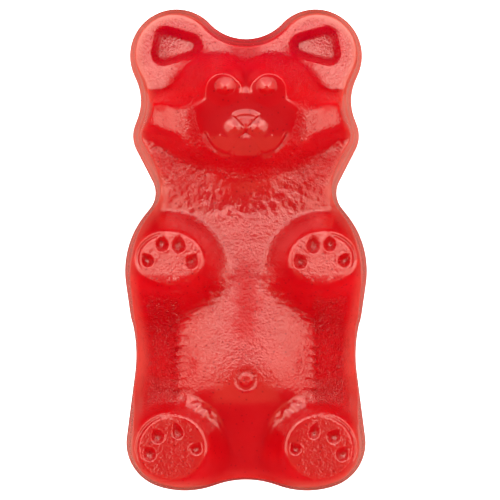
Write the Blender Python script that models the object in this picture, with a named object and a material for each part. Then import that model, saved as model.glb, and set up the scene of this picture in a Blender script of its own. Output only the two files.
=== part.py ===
"""A giant moulded gummy bear, one solid of jelly, lying on its flat back.

The head points to +Y and the belly faces up (+Z). The origin is the middle of the
back, under the middle of the bear's length. The front has no undercuts, because the
bear leaves an open mould: each place in the outline has one height, which is the
smooth union of the body, head, ears, arms and feet, cut off by the side wall.
Sizes are in millimetres, and the mesh is scaled to metres.
"""

import math

import bpy
import numpy as np
from mathutils import Vector
from mathutils.geometry import delaunay_2d_cdt

MM = 0.001

# The outline's right half is a belt pulled round pegs, from the crown's dip to the
# crotch's dip. Round a positive radius the jelly bulges, round a negative one it dips.
OUTLINE_PEGS = (
    # centre x, centre y, radius
    (0.0, 69.2, -13.3),  # dip between the ears
    (18.4, 51.4, 12.35),  # ear
    (41.1, 39.5, -13.2),  # temple
    (22.0, 30.2, 7.95),  # cheek
    (30.5, 15.1, -6.5),  # neck
    (8.2, -5.6, 23.85),  # arm
    (4.8, -12.7, 26.2),  # flank
    (67.3, -27.8, -38.2),  # waist
    (19.65, -51.1, 12.05),  # side of the foot
    (16.2, -41.1, 22.65),  # sole
    (0.0, -84.35, -23.5),  # dip between the feet
)

BACK_EDGE = 0.8  # radius of the rounded edge round the flat back
WALL_SLOPE = 14.0  # how much the side wall rises for each millimetre inwards
HEAD_WALL_SLOPE = 6.5
WALL_BLEND = 2.4  # how softly the wall turns into the front
SHOULDER_WIDTH = 4.2  # strip inside the wall where trunk and limbs roll over
SHOULDER_FALL = 0.13

# Places along the bear, with the height, half width and side height of its barrel.
BODY_STATIONS = (
    # y, ridge, half width, side
    (-64.0, 12.0, 24.0, 2.0),
    (-57.0, 18.5, 27.5, 2.0),
    (-50.0, 25.0, 28.6, 2.2),
    (-43.0, 29.6, 29.0, 2.4),
    (-37.0, 32.3, 29.0, 2.5),
    (-32.0, 33.0, 29.1, 2.6),
    (-26.0, 32.2, 29.3, 2.7),
    (-19.0, 30.6, 29.5, 2.9),
    (-8.0, 27.8, 30.0, 4.0),
    (4.0, 25.0, 28.5, 8.0),
    (10.0, 23.7, 29.0, 11.5),
    (16.0, 23.0, 30.0, 15.0),
    (24.0, 22.4, 30.0, 15.0),
    (34.0, 17.0, 31.0, 12.0),
    (50.0, 4.0, 31.0, 3.0),
)

# The belly patch stands proud of the sides by a small step along its edge.
PATCH_STEP = 0.7
FLANK_FALL = 0.3
FLANK_FLOOR = 9.0  # the flanks come no lower than this
PATCH_EDGE = (
    # y, half width
    (-46.0, 11.0),
    (-38.0, 18.0),
    (-29.0, 18.6),
    (-20.0, 17.9),
    (-15.0, 12.5),
    (-10.0, 7.5),
    (-6.0, 6.5),
)

THROAT_TOP = 28.2
THROAT_FALL = 0.66
THROAT_Y = 24.5

FACE_HEIGHT = 29.4
CHEEK_FALL = ((0.0, 0.0), (15.0, 0.0), (18.0, 1.0), (21.5, 3.2), (25.8, 6.5), (29.0, 11.5))
CHIN = ((0.0, 35.0), (30.5, 15.0))
CHIN_FALL = 0.02
CHIN_EDGE_WIDTH = 3.8
JAW_EDGE_WIDTH = 7.0
CHIN_EDGE_SLOPE = 1.6
JAW_EDGE_SLOPE = 1.3
# The brow is the face's upper edge, an arch over each eye that ends at the nose's bridge.
BROW_CENTRE = (6.0, 41.4)
BROW_RADIUS = 4.9
BRIDGE_HALF_WIDTH = 1.5
BRIDGE_Y = 40.9
BRIDGE_FALL = 0.45
FOREHEAD_WIDTH = 5.8  # of the slope between the brow and the crown
TEMPLE_WIDENING = 3.9  # how much wider that slope gets at the side of the head
TEMPLE_EDGE = ((10.0, 39.6), (14.0, 37.2), (17.5, 36.2), (22.0, 37.0), (28.0, 35.6))
TEMPLE_SLOPE = 0.85
TEMPLE_CURVE = 0.045
TEMPLE_STEEPENING = 0.35  # for each millimetre that the temple lies beyond TEMPLE_X
TEMPLE_X = 16.0
FOREHEAD_DROP = 14.0

EAR_CORNERS = ((21.2, 55.6), (14.6, 53.6), (21.9, 51.8))
EAR_RIM_RADIUS = 3.35
EAR_FLOOR_CORNERS = ((20.5, 54.9), (15.4, 53.5), (21.2, 51.7))
EAR_FLOOR_RADIUS = 1.6
EAR_DEPTH = 3.2

EYE = (5.4, 42.6)
EYE_HALF = (2.7, 2.4)
EYE_HEIGHT = 1.3

NOSE = (0.0, 33.3)
NOSE_HALF = (4.2, 2.6)
NOSE_POINT_Y = 31.2
NOSE_SIDE_SLOPE = 1.1
NOSE_HEIGHT = 0.6
NOSE_CREASE = 0.4
LOBE = (3.0, 31.8)
LOBE_HALF = (1.7, 1.4)
LOBE_HEIGHT = 0.7
MUZZLE_HEIGHT = 0.5
LIPS_TOP = (0.3, 30.7)
LIPS_END = (3.8, 26.2)
SMILE_CENTRE = (3.3, 32.3)
SMILE_RADIUS = 7.5

NAVEL_Y = -33.7
NAVEL_MOAT = 2.1
NAVEL_RING = 1.3

# Arms and feet are stubs that end in a flat pad with four hollow toes.
ARM_PAD = {
    "centre": (20.1, -2.1),
    "half": (8.6, 6.9),
    "height": 33.16,
    "fall_out": 0.21,
    "fall_up": 0.13,
    "side": 1.5,
    "upper_side": 2.6,
    "toe_depth": 3.2,
    "edge": 2.0,
    "lower_edge": 2.8,
}
FOOT_PAD = {
    "centre": (19.4, -51.5),
    "half": (9.4, 9.1),
    "height": 32.4,
    "fall_out": 0.10,
    "fall_up": -0.06,
    "side": 2.2,
    "upper_side": 3.2,
    "toe_depth": 2.8,
    "edge": 3.5,
    "lower_edge": 4.5,
}
PADS = (ARM_PAD, FOOT_PAD)
SKIRT_HEIGHT = 3.0
SKIRT_REACH = 6.0
PAD_GROOVE = 0.7  # depth of the groove along each pad's outer side
TOE_FLOOR = 1.0  # radius of the hollow's round bottom
# Toe: centre x, y, radius, then the point of its claw.
PAW_TOES = (
    (25.5, -2.8, 2.0, 27.2, -0.6),
    (21.8, 1.4, 2.1, 22.0, 4.6),
    (17.5, 1.0, 2.2, 16.9, 4.3),
    (14.1, -3.1, 2.2, 12.5, -0.7),
)
FOOT_TOES = (
    (22.9, -48.5, 2.15, 24.4, -46.3),
    (17.7, -47.6, 1.85, 18.6, -44.2),
    (25.0, -53.1, 2.1, 26.8, -51.0),
    (12.9, -51.7, 1.85, 11.6, -49.6),
)

# Mesh: steps along the outline and inwards up the wall, then a grid over the front.
OUTLINE_STEP = 2.0
WALL_RINGS = (0.0, 0.3, 0.7, 1.2, 1.8, 2.5, 3.3)
COARSE_STEP = 2.1
FINE_STEP = 1.0
FEATURE_STEP = 1.3
FOREHEAD_ROWS = ((0.0, -0.8), (0.0, 0.2), (0.45, 0.0), (1.0, -0.7), (1.0, 0.4))
TOE_RING_DEPTHS = (0.1, 1.0)
PAD_RINGS = (0.5, -0.5, -1.7, -3.2)
EYE_RINGS = (0.0, 0.6, 1.4)


# ---------------------------------------------------------------- small helpers


def smooth_step(low, high, value):
    """0 at low, 1 at high, and an even S between them."""
    t = np.clip((value - low) / (high - low), 0.0, 1.0)
    return t * t * (3.0 - 2.0 * t)


def smooth_max(a, b, blend):
    """The larger of two heights, with a fillet where they cross."""
    return np.maximum(a, b) + np.maximum(blend - np.abs(a - b), 0.0) ** 2 / (4.0 * blend)


def smooth_min(a, b, blend):
    """The smaller of two heights, with a rounded edge where they cross."""
    return -smooth_max(-a, -b, blend)


def bell(distance, width):
    """A soft bump, 1 at no distance and almost 0 at twice the width."""
    return np.exp(-((distance / width) ** 2))


def through(value, places, heights):
    """A smooth curve through the heights at the places, with no overshoot."""
    places = np.asarray(places)
    heights = np.asarray(heights)
    step = np.diff(places)
    slope = np.diff(heights) / step
    tangent = np.concatenate([slope[:1], (slope[1:] + slope[:-1]) / 2, slope[-1:]])
    same_way = slope[1:] * slope[:-1] > 0
    steepest = 2 * np.minimum(abs(slope[1:]), abs(slope[:-1]))
    limited = np.sign(slope[1:]) * np.minimum(abs(tangent[1:-1]), steepest)
    tangent[1:-1] = np.where(same_way, limited, 0.0)
    i = np.clip(np.searchsorted(places, value) - 1, 0, len(step) - 1)
    t = np.clip((value - places[i]) / step[i], 0.0, 1.0)
    rise = heights[i] + (heights[i + 1] - heights[i]) * t * t * (3.0 - 2.0 * t)
    lean_in = tangent[i] * t * (1.0 - t) ** 2
    lean_out = tangent[i + 1] * t * t * (1.0 - t)
    return rise + step[i] * (lean_in - lean_out)


def from_segment(x, y, start, end):
    """Distance to a straight line between two points, and how far along it (0 to 1)."""
    dx = end[0] - start[0]
    dy = end[1] - start[1]
    along = np.clip(((x - start[0]) * dx + (y - start[1]) * dy) / (dx * dx + dy * dy), 0.0, 1.0)
    return np.hypot(x - start[0] - along * dx, y - start[1] - along * dy), along


def from_arc(x, y, centre, radius, first, last):
    """Distance to an arc that runs anticlockwise between two angles, and how far along."""
    turn = np.degrees(np.arctan2(y - centre[1], x - centre[0]))
    along = np.clip(((turn - first + 90.0) % 360.0 - 90.0) / (last - first), 0.0, 1.0)
    angle = np.radians(first + along * (last - first))
    near_x = centre[0] + radius * np.cos(angle)
    near_y = centre[1] + radius * np.sin(angle)
    return np.hypot(x - near_x, y - near_y), along


def inside_ellipse(x, y, centre, half):
    """About how far inside an ellipse's edge a point lies, less than 0 outside."""
    u = (x - centre[0]) / half[0]
    v = (y - centre[1]) / half[1]
    reach = np.sqrt(u * u + v * v) + 1e-9
    slope = np.sqrt((u / half[0]) ** 2 + (v / half[1]) ** 2) / reach
    return (1.0 - reach) / np.maximum(slope, 1e-3)


def inside_triangle(x, y, corners, radius):
    """How far inside a triangle with rounded corners a point lies, less than 0 outside."""
    distance = np.full(np.shape(x), np.inf)
    within = np.ones(np.shape(x), bool)
    for start, end in zip(corners, corners[1:] + corners[:1]):
        distance = np.minimum(distance, from_segment(x, y, start, end)[0])
        turn = (end[0] - start[0]) * (y - start[1]) - (end[1] - start[1]) * (x - start[0])
        within &= turn > 0
    return np.where(within, distance, -distance) + radius


# ---------------------------------------------------------------- the outline


def belt_headings():
    """Direction of travel on each straight stretch of the belt, from peg to peg."""
    headings = [0.0]
    for (x1, y1, r1), (x2, y2, r2) in zip(OUTLINE_PEGS, OUTLINE_PEGS[1:]):
        apart = math.hypot(x2 - x1, y2 - y1)
        lean = math.asin(max(-1.0, min(1.0, (r2 - r1) / apart)))
        headings.append(math.atan2(y2 - y1, x2 - x1) + lean)
    headings.append(-math.pi)
    return headings


def half_outline(step):
    """Points of the belt from the crown to the crotch, each with its outward normal."""
    headings = belt_headings()
    points = []
    for (x, y, radius), start, end in zip(OUTLINE_PEGS, headings, headings[1:]):
        # Travel is clockwise: the belt turns right round the jelly and left round a dip.
        turn = (end - start) % math.tau
        if radius > 0:
            turn -= math.tau
        steps = max(1, math.ceil(abs(turn * radius) / step))
        for k in range(steps + 1):
            heading = start + turn * k / steps
            out_x = -math.sin(heading)
            out_y = math.cos(heading)
            points.append((x + radius * out_x, y + radius * out_y, out_x, out_y))
    return points


def fill_straights(points, step):
    """Adds points on the straight stretches, and drops any that repeat."""
    filled = [points[0]]
    for point in points[1:]:
        last = filled[-1]
        length = math.hypot(point[0] - last[0], point[1] - last[1])
        if length < 0.2 * step:
            continue
        parts = max(1, round(length / step))
        for k in range(1, parts + 1):
            share = k / parts
            filled.append(tuple(a + (b - a) * share for a, b in zip(last, point)))
    return filled


def outline(step):
    """The closed outline, clockwise, as rows of x, y and the outward normal."""
    right = fill_straights(half_outline(step), step)
    left = [(-x, y, -out_x, out_y) for x, y, out_x, out_y in reversed(right[1:-1])]
    return np.array(right + left)


def inset(ring, depth):
    """The outline moved inwards by a depth."""
    return ring[:, :2] - depth * ring[:, 2:]


def depth_inside(x, y, ring):
    """Distance from each point to the outline, for points that lie inside it."""
    depth = np.full(len(x), np.inf)
    for start, end in zip(ring[:, :2], np.roll(ring[:, :2], -1, axis=0)):
        depth = np.minimum(depth, from_segment(x, y, start, end)[0])
    return depth


# ---------------------------------------------------------------- heights of the front


def body(x, y):
    """The barrel of the trunk, from the feet to the neck, with the belly's patch."""
    places, ridges, halves, sides = zip(*BODY_STATIONS)
    ridge = through(y, places, ridges)
    half = through(y, places, halves)
    side = through(y, places, sides)
    across = np.clip(x / half, 0.0, 1.0)
    barrel = side + (ridge - side) * np.sqrt(1.0 - across**2)
    edge = through(y, *zip(*PATCH_EDGE))
    below = PATCH_STEP * smooth_step(-0.3, 0.8, x - edge) * smooth_step(-13.0, -16.0, y)
    below = below + FLANK_FALL * smooth_max(x - edge, 0.0, 2.0) * smooth_step(-8.0, -16.0, y)
    return smooth_max(barrel - below, FLANK_FLOOR, 6.0)


def foot_skirt(x, y):
    """The soft rise of the belly towards each foot."""
    out = -inside_ellipse(x, y, FOOT_PAD["centre"], FOOT_PAD["half"])
    return SKIRT_HEIGHT * smooth_step(SKIRT_REACH, 1.0, out)


def throat(x, y):
    """The fold of chin and throat that runs down onto the chest."""
    below = np.maximum(THROAT_Y - y, 0.0)
    above = np.maximum(y - THROAT_Y - 5.0, 0.0)
    return THROAT_TOP - THROAT_FALL * below - above - 0.045 * x * x


def navel(x, y):
    """A small ring with a dimple in it, and a moat round it."""
    away = np.hypot(x, y - NAVEL_Y)
    moat = 0.55 * bell(away - NAVEL_MOAT, 0.9)
    ring = 0.15 * bell(away - NAVEL_RING, 0.4)
    return ring - moat - 0.3 * bell(away, 0.7)


def forehead_width(turn):
    """Width of the slope beyond the brow, 90 degrees over the eyes and 0 at the temple."""
    return FOREHEAD_WIDTH + TEMPLE_WIDENING * np.exp(-turn / 20.0)


def forehead_fall(x, y):
    """How far the slope beyond the brow lies below the face."""
    across = smooth_max(x, BRIDGE_HALF_WIDTH, 1.5) - BROW_CENTRE[0]
    up = np.maximum(y - BROW_CENTRE[1], 0.0)
    beyond = smooth_max(np.hypot(across, up) - BROW_RADIUS, 0.0, 0.6)
    share = beyond / forehead_width(np.degrees(np.arctan2(up, np.maximum(across, 0.0))))
    slope = TEMPLE_SLOPE + TEMPLE_STEEPENING * smooth_max(x - TEMPLE_X, 0.0, 2.0)
    over = y - through(x, *zip(*TEMPLE_EDGE))
    roundness = 0.6 + 2.4 * smooth_step(13.0, 18.0, x)
    temple = smooth_max(slope * over + TEMPLE_CURVE * np.abs(over) * over, 0.0, roundness)
    return smooth_min(FOREHEAD_DROP * share**0.75, temple, np.clip(temple, 0.001, 2.0))


def face_dome(x, y):
    """The face: flat in the middle, falling at forehead, cheeks and chin."""
    cheek = through(x, *zip(*CHEEK_FALL))
    chin = CHIN_FALL * np.maximum(32.0 - y, 0.0) ** 2
    middle = smooth_step(20.0, 11.0, x)
    edge_width = JAW_EDGE_WIDTH + (CHIN_EDGE_WIDTH - JAW_EDGE_WIDTH) * middle
    edge_slope = JAW_EDGE_SLOPE + (CHIN_EDGE_SLOPE - JAW_EDGE_SLOPE) * middle
    edge = smooth_max(edge_width - inside_ellipse(x, y, *CHIN), 0.0, 2.5)
    chin = chin + edge_slope * edge * smooth_step(34.0, 27.0, y)
    blend = 0.4 + 1.6 * smooth_step(15.0, 19.0, x)
    bridge = BRIDGE_FALL * np.clip(y - BRIDGE_Y, 0.0, 2.5) * smooth_step(49.0, 44.0, y)
    bridge = bridge * bell(x, BRIDGE_HALF_WIDTH)
    return FACE_HEIGHT - chin - bridge - smooth_max(cheek, forehead_fall(x, y), blend)


def eyes(x, y):
    """A round ball, and the thin edges of the nose's bridge."""
    away = ((x - EYE[0]) / EYE_HALF[0]) ** 2 + ((y - EYE[1]) / EYE_HALF[1]) ** 2
    lean = 1.0 - 0.35 * (y - EYE[1]) / EYE_HALF[1]
    ball = EYE_HEIGHT * lean * np.maximum(1.0 - away, 0.0) ** 1.2
    to_edge, _ = from_arc(x, y, BROW_CENTRE, BROW_RADIUS - 0.1, 150.0, 185.0)
    return ball + 0.2 * bell(to_edge, 0.3)


def muzzle(x, y):
    """The snout's swelling, its two lobes and the three-cornered nose."""
    away = (x / 11.0) ** 2 + ((y - 30.5) / 8.0) ** 2
    swelling = MUZZLE_HEIGHT * np.maximum(1.0 - away, 0.0) ** 1.5
    from_lobe = np.hypot((x - LOBE[0]) / LOBE_HALF[0], (y - LOBE[1]) / LOBE_HALF[1])
    lobe = LOBE_HEIGHT * bell(from_lobe, 1.0)
    into_point = (y - NOSE_POINT_Y - NOSE_SIDE_SLOPE * x) / math.hypot(1.0, NOSE_SIDE_SLOPE)
    into_arch = inside_ellipse(x, y, NOSE, NOSE_HALF)
    into_nose = smooth_min(into_arch, into_point, 0.5)
    nose = NOSE_HEIGHT * smooth_step(-0.7, 0.7, into_nose)
    tip = 0.12 * np.clip(34.6 - y, 0.0, 1.8) * bell(x, 1.0)
    side_crease = bell(into_point, 0.3) * smooth_step(31.6, 32.4, y) * smooth_step(35.4, 34.4, y)
    arch_crease = bell(into_arch - 1.0, 0.3) * smooth_step(0.2, 0.8, into_point)
    crease = NOSE_CREASE * np.maximum(side_crease, 0.7 * arch_crease)
    return swelling + lobe + nose + tip - crease


def mouth(x, y):
    """The open wedge under the nose, low at its top, and the groove of the smile."""
    run_x = LIPS_END[0] - LIPS_TOP[0]
    run_y = LIPS_END[1] - LIPS_TOP[1]
    into = (run_y * (x - LIPS_TOP[0]) - run_x * (y - LIPS_TOP[1])) / math.hypot(run_x, run_y)
    lowest = 0.3 + 0.5 * smooth_step(28.6, 30.4, y)
    wedge = lowest * smooth_step(-0.3, 0.35, into) * smooth_step(23.0, 27.5, y)
    to_smile, along = from_arc(x, y, SMILE_CENTRE, SMILE_RADIUS, -78.0, -17.0)
    outside = np.hypot(x - SMILE_CENTRE[0], y - SMILE_CENTRE[1]) > SMILE_RADIUS
    deep = 0.5 + 0.2 * (1.0 - along)
    smile = deep * bell(to_smile, np.where(outside, 0.85 - 0.35 * along, 0.3))
    return -wedge - smile


def head(x, y):
    """The face with all its features."""
    return face_dome(x, y) + muzzle(x, y) + eyes(x, y) + mouth(x, y)


def ears(x, y):
    """The low plateau of forehead and ears, with a three-cornered hollow in each ear."""
    outward = 0.25 * np.maximum(x - 4.0, 0.0) * smooth_step(39.0, 42.5, y)
    plateau = 17.4 - outward - 0.2 * (np.maximum(y, 42.0) - 49.0)
    into_rim = inside_triangle(x, y, EAR_CORNERS, EAR_RIM_RADIUS)
    into_floor = inside_triangle(x, y, EAR_FLOOR_CORNERS, EAR_FLOOR_RADIUS)
    wall = np.maximum(into_rim - into_floor, 0.6)
    hollow = EAR_DEPTH * smooth_min(smooth_max(into_rim / wall, 0.0, 0.2), 1.0, 0.2)
    return np.where(y > BROW_CENTRE[1] - 8.0, plateau - hollow, 0.0)


def toe(x, y, centre_x, centre_y, radius, claw_x, claw_y):
    """Depth of one hollow toe, 0 to 1: a pit that narrows to the point of its claw."""
    away, along = from_segment(x, y, (centre_x, centre_y), (claw_x, claw_y))
    edge = radius * (1.0 - 0.93 * smooth_step(-0.1, 1.05, along))
    inward = edge - np.hypot(away, TOE_FLOOR) + TOE_FLOOR * along
    return smooth_max(inward, 0.0, 0.2) / radius


def stub(x, y, pad, toes):
    """An arm or a foot: a flat pad on steep sides, with its toes pressed in."""
    centre_x, centre_y = pad["centre"]
    flat = pad["height"] - pad["fall_out"] * (x - centre_x) - pad["fall_up"] * (y - centre_y)
    depth = inside_ellipse(x, y, pad["centre"], pad["half"])
    upper = smooth_step(-pad["half"][1], 1.4 * pad["half"][1], y - centre_y)
    side = pad["side"] + (pad["upper_side"] - pad["side"]) * upper
    over = smooth_step(-0.7, 0.0, (y - centre_y) / pad["half"][1])
    edge = pad["lower_edge"] + (pad["edge"] - pad["lower_edge"]) * over
    stub_top = smooth_min(flat, flat + 0.9 + side * depth, edge)
    outer = over * smooth_step(-0.1, 0.55, (x - centre_x) / pad["half"][0])
    stub_top = stub_top - PAD_GROOVE * outer * bell(depth - 0.5, 0.45)
    for sizes in toes:
        stub_top = stub_top - pad["toe_depth"] * toe(x, y, *sizes)
    return stub_top


def front_height(x, y, depth):
    """Height of the bear's front over the back's plane."""
    x = np.abs(x)
    top = smooth_max(body(x, y) + foot_skirt(x, y), throat(x, y), 5.0)
    top = smooth_max(top, head(x, y), 3.0)
    top = smooth_max(top, ears(x, y), 1.6)
    top = smooth_max(top, stub(x, y, ARM_PAD, PAW_TOES), 4.0)
    top = smooth_max(top, stub(x, y, FOOT_PAD, FOOT_TOES), 6.0)
    trunk = smooth_step(25.0, 10.0, y)
    shoulder = SHOULDER_FALL * trunk * np.maximum(SHOULDER_WIDTH - depth, 0.0) ** 2
    top = top + navel(x, y) - shoulder
    slope = HEAD_WALL_SLOPE + (WALL_SLOPE - HEAD_WALL_SLOPE) * trunk
    return smooth_min(BACK_EDGE + slope * depth, top, WALL_BLEND)


# ---------------------------------------------------------------- the mesh


def ellipse(centre, half, depth):
    """A closed row of points on an ellipse moved inwards by a depth."""
    across = half[0] - depth
    along = half[1] - depth
    count = math.ceil(math.pi * (across + along) / FEATURE_STEP)
    turns = [math.tau * (k + 0.5) / count for k in range(count)]
    return [(centre[0] + across * math.cos(t), centre[1] + along * math.sin(t)) for t in turns]


def rounded_triangle(corners, radius):
    """A closed row of points round a triangle with rounded corners."""
    points = []
    count = math.ceil(math.tau * radius / (0.8 * FEATURE_STEP))
    for k in range(count):
        out_x = math.cos(math.tau * k / count)
        out_y = math.sin(math.tau * k / count)
        corner = max(corners, key=lambda c: c[0] * out_x + c[1] * out_y)
        points.append((corner[0] + radius * out_x, corner[1] + radius * out_y))
    return fill_straights(points + points[:1], FEATURE_STEP)[:-1]


def forehead_row(share, beyond):
    """Points along the slope over the brow, at a share of its width and then beyond it."""
    points = []
    for k in range(13):
        turn = 7.5 * k
        out = BROW_RADIUS + share * float(forehead_width(turn)) + beyond
        x = BROW_CENTRE[0] + out * math.cos(math.radians(turn))
        points.append((x, BROW_CENTRE[1] + out * math.sin(math.radians(turn))))
    level = points[-1][1]
    return fill_straights(points + [(0.0, level)], FEATURE_STEP)


def toe_rows(centre_x, centre_y, radius, claw_x, claw_y):
    """Points round a toe's hollow and at its claw."""
    rows = [[(centre_x, centre_y), (claw_x, claw_y)]]
    rows += [ellipse((centre_x, centre_y), (radius, radius), depth) for depth in TOE_RING_DEPTHS]
    return rows


def feature_rings():
    """Rows of points along the edges that the front's mesh has to follow, at the right side."""
    rings = [forehead_row(*place) for place in FOREHEAD_ROWS]
    rings += [ellipse(pad["centre"], pad["half"], d) for pad in PADS for d in PAD_RINGS]
    rings += [ellipse(EYE, EYE_HALF, depth) for depth in EYE_RINGS]
    rings.append(rounded_triangle(EAR_CORNERS, EAR_RIM_RADIUS))
    rings.append(rounded_triangle(EAR_FLOOR_CORNERS, EAR_FLOOR_RADIUS))
    for toes in (PAW_TOES, FOOT_TOES):
        rings += [row for sizes in toes for row in toe_rows(*sizes)]
    return rings


def feature_points(ring):
    """The points of the feature rings that lie well inside the wall."""
    right = [point for row in feature_rings() for point in row]
    left = [(-x, y) for x, y in right if x > 0.1]
    points = np.array(right + left)
    deep = depth_inside(*points.T, ring) > WALL_RINGS[-1] + 0.5 * FEATURE_STEP
    return points[deep & inside_outline(*points.T, ring)]


def inside_outline(x, y, ring):
    """True for a point inside the outline: it has an odd number of edges to its right."""
    odd = np.zeros(len(x), bool)
    for (x1, y1), (x2, y2) in zip(ring[:, :2], np.roll(ring[:, :2], -1, axis=0)):
        if y1 != y2:
            crosses = (y1 > y) != (y2 > y)
            odd ^= crosses & (x < x1 + (y - y1) * (x2 - x1) / (y2 - y1))
    return odd


def near_detail(x, y):
    """True where the front has small features that need the fine grid."""
    places = (
        ((0.0, 36.0), (12.5, 13.0)),
        ((21.0, 39.5), (6.0, 4.5)),
        (ARM_PAD["centre"], ARM_PAD["half"]),
        (FOOT_PAD["centre"], FOOT_PAD["half"]),
        ((18.6, 53.6), (7.5, 6.5)),
        ((0.0, NAVEL_Y), (4.5, 4.5)),
    )
    return np.any([inside_ellipse(np.abs(x), y, *place) > 0 for place in places], axis=0)


def apart_from(points, others, gap):
    """The points that keep a gap to all the others."""
    kept = [np.hypot(*(others - point).T).min() > gap for point in points]
    return points[kept]


def grid_points(step, ring):
    """A mirrored grid of equal triangles over the front, inside the wall."""
    ys = np.arange(-66.0, 66.0, step * math.sqrt(0.75))
    xs = np.arange(0.0, 33.0, step)
    shift = np.where(np.arange(len(ys)) % 2 == 0, 0.5 * step, 0.0)
    x = (xs[None, :] + shift[:, None]).ravel()
    y = np.repeat(ys, len(xs))
    deep = depth_inside(x, y, ring) > WALL_RINGS[-1] + 0.5 * step
    kept = deep & inside_outline(x, y, ring)
    right = np.column_stack([x[kept], y[kept]])
    left = right[right[:, 0] > 0] * (-1.0, 1.0)
    return np.concatenate([right, left])


def front_points(ring):
    """All points of the front: the wall's rings, the features' rings, then the grids."""
    rings = [inset(ring, depth) for depth in WALL_RINGS]
    features = feature_points(ring)
    coarse = grid_points(COARSE_STEP, ring)
    coarse = coarse[~near_detail(*coarse.T)]
    fine = grid_points(FINE_STEP, ring)
    fine = fine[near_detail(*fine.T)]
    grids = [apart_from(coarse, features, 0.5 * COARSE_STEP)]
    grids.append(apart_from(fine, features, 0.6 * FINE_STEP))
    return np.concatenate(rings + [features] + grids)


def ring_edges(count, rings):
    """The edges of each ring, as pairs of point numbers."""
    return [
        (r * count + k, r * count + (k + 1) % count) for r in range(rings) for k in range(count)
    ]


def bear_mesh():
    """The closed mesh: front, rounded back edge and flat back."""
    ring = outline(OUTLINE_STEP)
    count = len(ring)
    flat = front_points(ring)
    depth = depth_inside(*flat.T, ring)
    for k, ring_depth in enumerate(WALL_RINGS):
        depth[k * count : (k + 1) * count] = ring_depth
    heights = front_height(*flat.T, depth)

    edges = ring_edges(count, len(WALL_RINGS))
    border = [list(range(count))]
    points = [Vector(point) for point in flat]
    made = delaunay_2d_cdt(points, edges, border, 1, 1e-5)
    faces = [tuple(face) for face in made[2]]
    sources = [inputs[0] for inputs in made[3]]
    vertices = [(*flat[i], heights[i]) for i in sources]
    place = {source: k for k, source in enumerate(sources)}
    last = [place[k] for k in range(count)]

    for angle in (45.0, 90.0):
        slope = math.radians(angle)
        edge_inset = BACK_EDGE * (1.0 - math.cos(slope))
        edge_height = BACK_EDGE * (1.0 - math.sin(slope))
        new = []
        for x, y in inset(ring, edge_inset):
            new.append(len(vertices))
            vertices.append((x, y, edge_height))
        for k in range(count):
            after = (k + 1) % count
            faces.append((last[k], last[after], new[after], new[k]))
        last = new
    faces.append(tuple(last))
    return vertices, faces


def jelly_material():
    """Glossy red jelly."""
    material = bpy.data.materials.new("red_jelly")
    material.use_nodes = True
    shader = material.node_tree.nodes["Principled BSDF"]
    shader.inputs["Base Color"].default_value = (0.68, 0.02, 0.02, 1.0)
    shader.inputs["Roughness"].default_value = 0.3
    shader.inputs["Metallic"].default_value = 0.0
    return material


def gummy_bear():
    """The bear as one object."""
    vertices, faces = bear_mesh()
    mesh = bpy.data.meshes.new("gummy_bear")
    mesh.from_pydata([Vector(vertex) * MM for vertex in vertices], [], faces)
    mesh.shade_smooth()
    mesh.set_sharp_from_angle(angle=math.radians(50.0))
    mesh.materials.append(jelly_material())
    bear = bpy.data.objects.new("gummy_bear", mesh)
    bpy.context.scene.collection.objects.link(bear)
    return bear


def main():
    for obj in list(bpy.data.objects):
        bpy.data.objects.remove(obj)
    gummy_bear()


main()
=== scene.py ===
import math

import bpy
import numpy as np
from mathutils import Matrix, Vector
from mathutils.geometry import delaunay_2d_cdt


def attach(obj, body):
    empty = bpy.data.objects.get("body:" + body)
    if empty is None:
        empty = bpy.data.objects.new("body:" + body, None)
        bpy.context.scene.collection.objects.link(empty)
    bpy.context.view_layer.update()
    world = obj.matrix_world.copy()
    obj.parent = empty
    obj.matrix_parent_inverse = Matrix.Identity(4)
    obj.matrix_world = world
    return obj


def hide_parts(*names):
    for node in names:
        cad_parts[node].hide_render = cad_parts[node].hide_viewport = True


# The looks of a giant moulded gummy bear, one solid of red jelly on its flat back.
#
# The main forms are the same named sizes and functions as the solid's source, in
# millimetres, and this script adds the mould's fine relief to them: the locks at the
# belly's edge, the neck's fur, lips round the toes, wrinkles, wall lines and grain.
# Then come maps of where the gloss is weaker, the jelly's material, the pale stage,
# the soft lights and the camera, which looks straight down on the bear.

MM = 0.001

# The outline's right half is a belt pulled round pegs, from the crown's dip to the
# crotch's dip. Round a positive radius the jelly bulges, round a negative one it dips.
OUTLINE_PEGS = (
    # centre x, centre y, radius
    (0.0, 69.2, -13.3),  # dip between the ears
    (18.4, 51.4, 12.35),  # ear
    (41.1, 39.5, -13.2),  # temple
    (22.0, 30.2, 7.95),  # cheek
    (30.5, 15.1, -6.5),  # neck
    (8.2, -5.6, 23.85),  # arm
    (4.8, -12.7, 26.2),  # flank
    (67.3, -27.8, -38.2),  # waist
    (19.65, -51.1, 12.05),  # side of the foot
    (16.2, -41.1, 22.65),  # sole
    (0.0, -84.35, -23.5),  # dip between the feet
)

BACK_EDGE = 0.8  # radius of the rounded edge round the flat back
WALL_SLOPE = 14.0  # how much the side wall rises for each millimetre inwards
HEAD_WALL_SLOPE = 6.5
WALL_BLEND = 2.4  # how softly the wall turns into the front
SHOULDER_WIDTH = 4.2  # strip inside the wall where trunk and limbs roll over
SHOULDER_FALL = 0.13

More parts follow.
